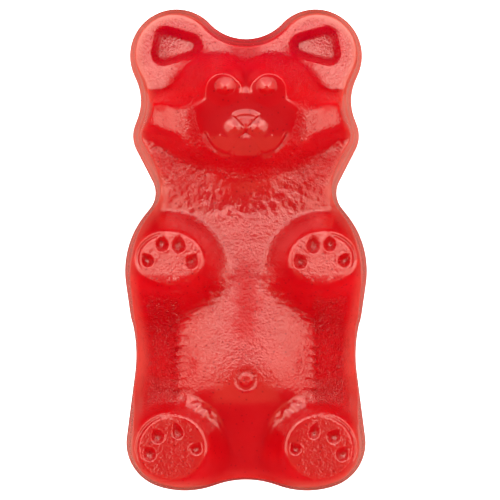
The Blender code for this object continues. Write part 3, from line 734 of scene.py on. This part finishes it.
WALL_RINGS = 26  # rings of points on the wall, a small step apart seen from above
WALL_RING_STEP = 0.13
OUTLINE_STEP = 0.75  # between the points along the outline
GRID_STEP = 0.36  # between the points of the front
FINE_STEP = 0.24  # and where its forms are finest
BACK_GRID_STEP = 1.0
BACK_EDGE_PARTS = 4
BACK_WAVES = 0.07  # height of the faint waves on the back
EDGE_GLOW_WIDTH = 4.5  # of the painted glow along the outline, where light shines through the thin jelly
FRONT_Z = 1.0  # the mould's grain and dull patches lie over this height


def inside_outline(x, y, ring):
    """True for a point inside the outline: it has an odd number of edges to its right."""
    odd = np.zeros(len(x), bool)
    for (x1, y1), (x2, y2) in zip(ring[:, :2], np.roll(ring[:, :2], -1, axis=0)):
        if y1 != y2:
            crosses = (y1 > y) != (y2 > y)
            odd ^= crosses & (x < x1 + (y - y1) * (x2 - x1) / (y2 - y1))
    return odd


def near_detail(x, y):
    """True where the front has small features that need the fine grid."""
    places = (
        ((0.0, 36.0), (12.5, 13.0)),
        (ARM_PAD["centre"], ARM_PAD["half"]),
        (FOOT_PAD["centre"], FOOT_PAD["half"]),
        ((18.6, 53.6), (8.0, 7.0)),
        ((0.0, NAVEL_Y), (4.5, 4.5)),
    )
    return np.any([inside_ellipse(np.abs(x), y, *place) > 0 for place in places], axis=0)


def grid_points(step, ring, margin):
    """A grid of equal triangles over the inside of the outline, clear of its edge."""
    ys = np.arange(-66.0, 66.0, step * math.sqrt(0.75))
    xs = np.arange(-33.0, 33.0, step)
    shift = np.where(np.arange(len(ys)) % 2 == 0, 0.5 * step, 0.0)
    x = (xs[None, :] + shift[:, None]).ravel()
    y = np.repeat(ys, len(xs))
    deep = depth_inside(x, y, ring) > margin
    kept = deep & inside_outline(x, y, ring)
    return np.column_stack([x[kept], y[kept]])


def triangulated(flat, count):
    """Triangles over the points, inside the outline that the first points make."""
    points = [Vector(point) for point in flat]
    edges = [(k, (k + 1) % count) for k in range(count)]
    made = delaunay_2d_cdt(points, edges, [list(range(count))], 1, 1e-6)
    sources = np.array([inputs[0] for inputs in made[3]])
    return sources, made[2]


def front(ring):
    """Points of the moulded front and their heights: the wall's rings, then the grids."""
    count = len(ring)
    depths = WALL_RING_STEP * np.arange(WALL_RINGS)
    rings = [inset(ring, depth) for depth in depths]
    margin = depths[-1] + 0.6 * GRID_STEP
    plain = grid_points(GRID_STEP, ring, margin)
    fine = grid_points(FINE_STEP, ring, margin)
    plain = plain[~near_detail(*plain.T)]
    fine = fine[near_detail(*fine.T)]
    flat = np.concatenate(rings + [plain, fine])
    depth = depth_inside(*flat.T, ring)
    depth[: count * WALL_RINGS] = np.repeat(depths, count)
    heights = relief_height(*flat.T, depth)
    return flat, heights


def bear_mesh():
    """The closed mesh: moulded front, rounded back edge and almost flat back."""
    ring = outline(OUTLINE_STEP)
    count = len(ring)
    flat, heights = front(ring)
    sources, faces = triangulated(flat, count)
    vertices = np.column_stack([flat, heights])[sources]
    place = np.empty(len(flat), int)
    place[sources] = np.arange(len(sources))
    faces = [tuple(face) for face in faces]
    last = [int(k) for k in place[:count]]
    vertices = [tuple(v) for v in vertices]

    for part in range(1, BACK_EDGE_PARTS + 1):
        slope = 0.5 * math.pi * part / BACK_EDGE_PARTS
        edge_inset = BACK_EDGE * (1.0 - math.cos(slope))
        edge_height = BACK_EDGE * (1.0 - math.sin(slope))
        new = list(range(len(vertices), len(vertices) + count))
        vertices += [(x, y, edge_height) for x, y in inset(ring, edge_inset)]
        faces += [
            (last[k], last[(k + 1) % count], new[(k + 1) % count], new[k]) for k in range(count)
        ]
        last = new

    back_rim = inset(ring, BACK_EDGE)
    grid = grid_points(BACK_GRID_STEP, ring, BACK_EDGE + 0.6 * BACK_GRID_STEP)
    back = np.concatenate([back_rim, grid])
    rises = back_relief(*back.T, ring)
    sources, triangles = triangulated(back, count)
    numbers = {}
    for k, source in enumerate(sources):
        if source < count:
            numbers[k] = last[source]
        else:
            numbers[k] = len(vertices)
            vertices.append((*back[source], rises[source]))
    faces += [tuple(numbers[k] for k in reversed(face)) for face in triangles]
    return vertices, faces


def back_relief(x, y, ring):
    """Height of the back over the table: faint waves from the pour, none at the rim."""
    waves = 1.0 + 0.7 * cloudy(x, y, 9.0, 71) + 0.3 * cloudy(x, y, 3.5, 72)
    return BACK_WAVES * waves * smooth_step(BACK_EDGE, 6.0, depth_inside(x, y, ring))


def material_maps(vertices):
    """For each point, how near the thin rim it lies for the painted glow of light through the thin
    jelly there, how coarse its grain is and how dull it is.
    """
    x, y, z = np.array(vertices).T
    depth = depth_inside(x, y, outline(OUTLINE_STEP))
    # Painted glow: light shining through the thin jelly near the outline, painted in as a paler,
    # more orange colour, weaker near the middle line and along the trunk.
    rim = smooth_step(EDGE_GLOW_WIDTH, 0.3 * EDGE_GLOW_WIDTH, depth)
    rim = rim * (0.15 + 0.85 * smooth_step(8.0, 15.0, np.abs(x)))
    rim = rim * (1.0 - 0.5 * between(-45.0, 8.0, y, 6.0))
    flank = between(18.5, 25.0, np.abs(x), 1.5) * between(-40.0, -14.0, y, 3.0)
    coarse = roughness_of_mould(np.abs(x), y) * (1.0 + 1.5 * flank)
    coarse = coarse * smooth_step(*GRAIN_START, depth) * (z > FRONT_Z)
    return {"rim": rim, "coarse": coarse, "dull": dullness(x, y) * (z > FRONT_Z)}


def gummy_bear(material):
    """The bear as one object, smooth shaded."""
    vertices, faces = bear_mesh()
    mesh = bpy.data.meshes.new("gummy_bear_jelly")
    mesh.from_pydata([Vector(vertex) * MM for vertex in vertices], [], faces)
    for name, values in material_maps(vertices).items():
        mesh.attributes.new(name, "FLOAT", "POINT").data.foreach_set("value", values)
    mesh.shade_smooth()
    mesh.materials.append(material)
    bear = bpy.data.objects.new("gummy_bear_jelly", mesh)
    bpy.context.scene.collection.objects.link(bear)
    return bear


# ---------------------------------------------------------------- the material

# Scales are in cells a metre, because the material's coordinates are metres.
# The rim colour is a painted glow of light shining through the thin jelly at the outline.
EDGE_GLOW_COLOR = (0.63, 0.085, 0.058, 1.0)
DEEP_COLOR = (0.59, 0.0005, 0.004, 1.0)
PALE_COLOR = (0.65, 0.004, 0.007, 1.0)
# The pit colour is painted shade in the small pits.
PIT_SHADE_COLOR = (0.4, 0.0, 0.004, 1.0)
PATCH_SCALE = 110.0
PIT_SCALE = 620.0
GRAIN_SCALE = 1600.0
GRAIN_HEIGHT = 0.00013
ROUGHNESS = (0.11, 0.2)  # where the grain is lowest and highest
PINK_START = 0.042  # from this y the head turns pinker, and fully from the next
PINK_FULL = 0.06
PINK_BLUE = 0.012
DULL_GLOSS = 0.25  # the share of the gloss that is left where the jelly is dullest
SCATTER_SHARE = 0.6
SCATTER_RADIUS = (1.0, 0.12, 0.08)  # red light goes furthest through the jelly
SCATTER_DEPTH = 0.004


class Nodes:
    """A short way to add nodes to a material and to link them."""

    def __init__(self, name):
        self.material = bpy.data.materials.new(name)
        self.material.use_nodes = True
        self.tree = self.material.node_tree
        self.shader = self.tree.nodes["Principled BSDF"]

    def add(self, kind, links=(), **settings):
        """A node with its settings, and with sockets set or linked by name."""
        node = self.tree.nodes.new(kind)
        for key, value in settings.items():
            setattr(node, key, value)
        for socket, value in dict(links).items():
            self.join(value, node.inputs[socket])
        return node

    def join(self, value, socket):
        """Links an output to a socket, or sets the socket to a plain value."""
        if isinstance(value, bpy.types.NodeSocket):
            self.tree.links.new(value, socket)
        else:
            socket.default_value = value


def small_pits(nodes, place, front):
    """Round pits in the front, 1 in the middle of each: the mask for the pits' painted shade and
    weaker gloss.
    """
    cells = nodes.add("ShaderNodeTexVoronoi", {"Vector": place, "Scale": PIT_SCALE})
    pits = nodes.add(
        "ShaderNodeMapRange",
        {"Value": cells.outputs["Distance"], "From Min": 0.08, "From Max": 0.2,
         "To Min": 1.0, "To Max": 0.0},
    ).outputs["Result"]
    return nodes.add("ShaderNodeMath", {0: pits, 1: front}, operation="MULTIPLY").outputs[0]


def jelly_color(nodes, place, front, pits):
    """Deep red in soft patches, paler with a painted glow of light through the thin rim, pinker at
    the ears, darker with painted shade in the pits.
    """
    patches = nodes.add(
        "ShaderNodeTexNoise", {"Vector": place, "Scale": PATCH_SCALE, "Detail": 4.0}
    )
    tint = nodes.add("ShaderNodeValToRGB", {"Fac": patches.outputs["Fac"]})
    tint.color_ramp.elements[0].position = 0.35
    tint.color_ramp.elements[0].color = DEEP_COLOR
    tint.color_ramp.elements[1].position = 0.68
    tint.color_ramp.elements[1].color = PALE_COLOR
    along = nodes.add("ShaderNodeSeparateXYZ", {"Vector": place}).outputs["Y"]
    pinkness = nodes.add(
        "ShaderNodeMapRange",
        {"Value": along, "From Min": PINK_START, "From Max": PINK_FULL,
         "To Min": 0.0, "To Max": PINK_BLUE},
    ).outputs["Result"]
    pinkness = nodes.add("ShaderNodeMath", {0: pinkness, 1: front}, operation="MULTIPLY")
    pink = nodes.add("ShaderNodeCombineXYZ", {"Z": pinkness.outputs[0]}).outputs["Vector"]
    # Painted glow: the paler, more orange colour where the rim mask is high.
    body = nodes.add(
        "ShaderNodeMix", {"Factor": front, 6: EDGE_GLOW_COLOR, 7: tint.outputs["Color"]},
        data_type="RGBA",
    ).outputs[2]
    body = nodes.add(
        "ShaderNodeMix", {"Factor": 1.0, 6: body, 7: pink}, data_type="RGBA", blend_type="ADD"
    ).outputs[2]
    # Painted shade darkens the pits.
    return nodes.add(
        "ShaderNodeMix", {"Factor": pits, 6: body, 7: PIT_SHADE_COLOR}, data_type="RGBA"
    ).outputs[2]


def jelly():
    """Glossy translucent red jelly with the fine grain and pits of its mould, a painted glow at the
    thin rim and painted shade in the pits.
    """
    nodes = Nodes("red_jelly")
    place = nodes.add("ShaderNodeTexCoord").outputs["Object"]
    # The rim attribute carries the painted glow of light through the thin jelly near the outline.
    rim = nodes.add("ShaderNodeAttribute", attribute_name="rim").outputs["Fac"]
    front = nodes.add("ShaderNodeMath", {0: 1.0, 1: rim}, operation="SUBTRACT").outputs[0]
    # The pit mask paints shade into the small pits and weakens their gloss.
    pits = small_pits(nodes, place, front)

    fine = nodes.add("ShaderNodeTexNoise", {"Vector": place, "Scale": GRAIN_SCALE, "Detail": 2.0})
    roughness = nodes.add(
        "ShaderNodeMapRange",
        {"Value": fine.outputs["Fac"], "To Min": ROUGHNESS[0], "To Max": ROUGHNESS[1]},
    ).outputs["Result"]
    coarse = nodes.add("ShaderNodeAttribute", attribute_name="coarse").outputs["Fac"]
    lumps = nodes.add("ShaderNodeMath", {0: fine.outputs["Fac"], 1: coarse}, operation="MULTIPLY")
    bump = nodes.add(
        "ShaderNodeBump", {"Height": lumps.outputs[0], "Strength": 1.0, "Distance": GRAIN_HEIGHT}
    )
    dull = nodes.add("ShaderNodeAttribute", attribute_name="dull").outputs["Fac"]
    dull = nodes.add("ShaderNodeMath", {0: dull, 1: pits}, operation="MAXIMUM").outputs[0]
    shine = nodes.add(
        "ShaderNodeMapRange", {"Value": dull, "To Min": 1.0, "To Max": DULL_GLOSS}
    ).outputs["Result"]

    shader = nodes.shader.inputs
    nodes.join(jelly_color(nodes, place, front, pits), shader["Base Color"])
    nodes.join(roughness, shader["Roughness"])
    nodes.join(bump.outputs["Normal"], shader["Normal"])
    nodes.join(shine, shader["Specular IOR Level"])
    shader["Subsurface Weight"].default_value = SCATTER_SHARE
    shader["Subsurface Radius"].default_value = SCATTER_RADIUS
    shader["Subsurface Scale"].default_value = SCATTER_DEPTH
    return nodes.material


def pale_floor():
    """A plain white table with a trace of unevenness."""
    nodes = Nodes("pale_floor")
    place = nodes.add("ShaderNodeTexCoord").outputs["Object"]
    waves = nodes.add("ShaderNodeTexNoise", {"Vector": place, "Scale": 4.0, "Detail": 2.0})
    shade = nodes.add(
        "ShaderNodeMapRange",
        {"Value": waves.outputs["Fac"], "To Min": 0.93, "To Max": 0.96},
    )
    nodes.join(shade.outputs["Result"], nodes.shader.inputs["Base Color"])
    nodes.shader.inputs["Roughness"].default_value = 0.8
    nodes.shader.inputs["Emission Color"].default_value = (1.0, 1.0, 1.0, 1.0)
    nodes.shader.inputs["Emission Strength"].default_value = 1.3
    return nodes.material


# ---------------------------------------------------------------- stage, lights, camera

# Sizes and places from here on are in metres.
FLOOR_HALF = 4.0
CAMERA_HEIGHT = 1.5
VIEW_WIDTH = 0.1325  # width of the table that the picture shows
VIEW_CENTRE = (0.00106, 0.0)
LIGHT_DISTANCE = 1.0
BOX_TILT = 49.0  # degrees off the vertical
BOX_SIZE = (1.1, 1.4)
BOX_RADIANCE = 1.65
FEET_BOX_TILT = 30.0
FEET_BOX_SIZE = (0.73, 1.2)
FEET_BOX_RADIANCE = 0.25
FEET_COLOR = (1.8, 1.0, 0.5)
WARM = (1.4, 1.0, 0.8)
COOL = (1.4, 0.97, 0.88)
FILL_SIZE = (1.0, 1.4)
FILL_TILT = 65.0
FILL_RADIANCE = 1.4
# The glow's directions: steeply from below, and more from the sides than from the middle.
GLOW_COLOR = (1.7, 0.75, 0.6, 1.0)
GLOW_Z = (-0.95, -0.85)
GLOW_X = (0.05, 0.25)
GLOW_MIDDLE = 0.06
GLOW_SIDES = 0.34


def stage():
    """The table that the bear lies on."""
    mesh = bpy.data.meshes.new("floor")
    half = FLOOR_HALF
    corners = [(-half, -half, 0.0), (half, -half, 0.0), (half, half, 0.0), (-half, half, 0.0)]
    mesh.from_pydata(corners, [], [(0, 1, 2, 3)])
    mesh.materials.append(pale_floor())
    floor = bpy.data.objects.new("floor", mesh)
    bpy.context.scene.collection.objects.link(floor)
    floor.visible_glossy = False  # the jelly's steep walls mirror a dark room, not the table


def soft_box(name, azimuth, tilt, size, radiance):
    """A soft box facing the bear from an azimuth (0 = +X, 90 = +Y), tilted off the vertical.

    Its size is its length from top to bottom, then its width.
    """
    light = bpy.data.lights.new(name, "AREA")
    light.shape = "RECTANGLE"
    light.size, light.size_y = size
    light.energy = radiance * size[0] * size[1] * math.pi
    lamp = bpy.data.objects.new(name, light)
    turn = math.radians(azimuth)
    lean = math.radians(tilt)
    direction = Vector(
        (math.sin(lean) * math.cos(turn), math.sin(lean) * math.sin(turn), math.cos(lean))
    )
    lamp.location = direction * LIGHT_DISTANCE
    lamp.rotation_euler = direction.to_track_quat("Z", "X").to_euler()
    lamp.visible_camera = False
    bpy.context.scene.collection.objects.link(lamp)
    return lamp


def lights():
    """An arch of soft boxes for the gloss, and a soft even fill that leaves no reflection."""
    arch = (("left", 162.0, WARM), ("head", 90.0, COOL), ("right", 18.0, WARM))
    for name, azimuth, color in arch:
        box = soft_box(name + "_box", azimuth, BOX_TILT, BOX_SIZE, BOX_RADIANCE)
        box.data.color = color
        box.visible_diffuse = False
    box = soft_box("feet_box", 270.0, FEET_BOX_TILT, FEET_BOX_SIZE, FEET_BOX_RADIANCE)
    box.data.color = FEET_COLOR
    box.visible_diffuse = False
    fills = [soft_box("top_fill", 0.0, 0.0, FILL_SIZE, FILL_RADIANCE)]
    for azimuth in (0.0, 90.0, 180.0, 270.0):
        name = f"fill_{azimuth:.0f}"
        fills.append(soft_box(name, azimuth, FILL_TILT, FILL_SIZE, FILL_RADIANCE))
    for fill in fills:
        fill.visible_glossy = False
    room()
    bpy.context.scene.view_settings.view_transform = "Standard"


def room():
    """A dim room: the steep walls mirror only the table's glow, brightest at both sides."""
    world = bpy.data.worlds.new("dim_room")
    world.use_nodes = True
    tree = world.node_tree
    direction = tree.nodes.new("ShaderNodeTexCoord")
    parts = tree.nodes.new("ShaderNodeSeparateXYZ")
    sideways = tree.nodes.new("ShaderNodeMath")
    sideways.operation = "ABSOLUTE"
    tree.links.new(direction.outputs["Generated"], parts.inputs["Vector"])
    tree.links.new(parts.outputs["X"], sideways.inputs[0])
    shares = []
    for value, limits, low, high in (
        (parts.outputs["Z"], GLOW_Z, 1.0, 0.0),
        (sideways.outputs[0], GLOW_X, GLOW_MIDDLE, GLOW_SIDES),
    ):
        share = tree.nodes.new("ShaderNodeMapRange")
        share.inputs["From Min"].default_value = limits[0]
        share.inputs["From Max"].default_value = limits[1]
        share.inputs["To Min"].default_value = low
        share.inputs["To Max"].default_value = high
        tree.links.new(value, share.inputs["Value"])
        shares.append(share.outputs["Result"])
    glow = tree.nodes.new("ShaderNodeMath")
    glow.operation = "MULTIPLY"
    for k, share in enumerate(shares):
        tree.links.new(share, glow.inputs[k])
    background = tree.nodes["Background"]
    background.inputs["Color"].default_value = GLOW_COLOR
    tree.links.new(glow.outputs[0], background.inputs["Strength"])
    bpy.context.scene.world = world


def camera():
    """A long lens straight above the bear, with its head at the picture's top."""
    lens = bpy.data.cameras.new("camera")
    lens.sensor_width = 36.0
    lens.lens = lens.sensor_width * CAMERA_HEIGHT / VIEW_WIDTH
    lens.clip_end = 20.0
    view = bpy.data.objects.new("camera", lens)
    view.location = (*VIEW_CENTRE, CAMERA_HEIGHT)
    bpy.context.scene.collection.objects.link(view)
    bpy.context.scene.camera = view


# ---------------------------------------------------------------- the whole scene


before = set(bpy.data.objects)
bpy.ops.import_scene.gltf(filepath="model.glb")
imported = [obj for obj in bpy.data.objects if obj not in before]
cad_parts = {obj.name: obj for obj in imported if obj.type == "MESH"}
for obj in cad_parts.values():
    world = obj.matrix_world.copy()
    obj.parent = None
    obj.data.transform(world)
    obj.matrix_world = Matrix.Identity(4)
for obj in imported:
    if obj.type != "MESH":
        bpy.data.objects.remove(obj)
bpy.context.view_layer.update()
bear = gummy_bear(jelly())
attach(bear, "root")
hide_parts("gummy_bear")
stage()
lights()
camera()
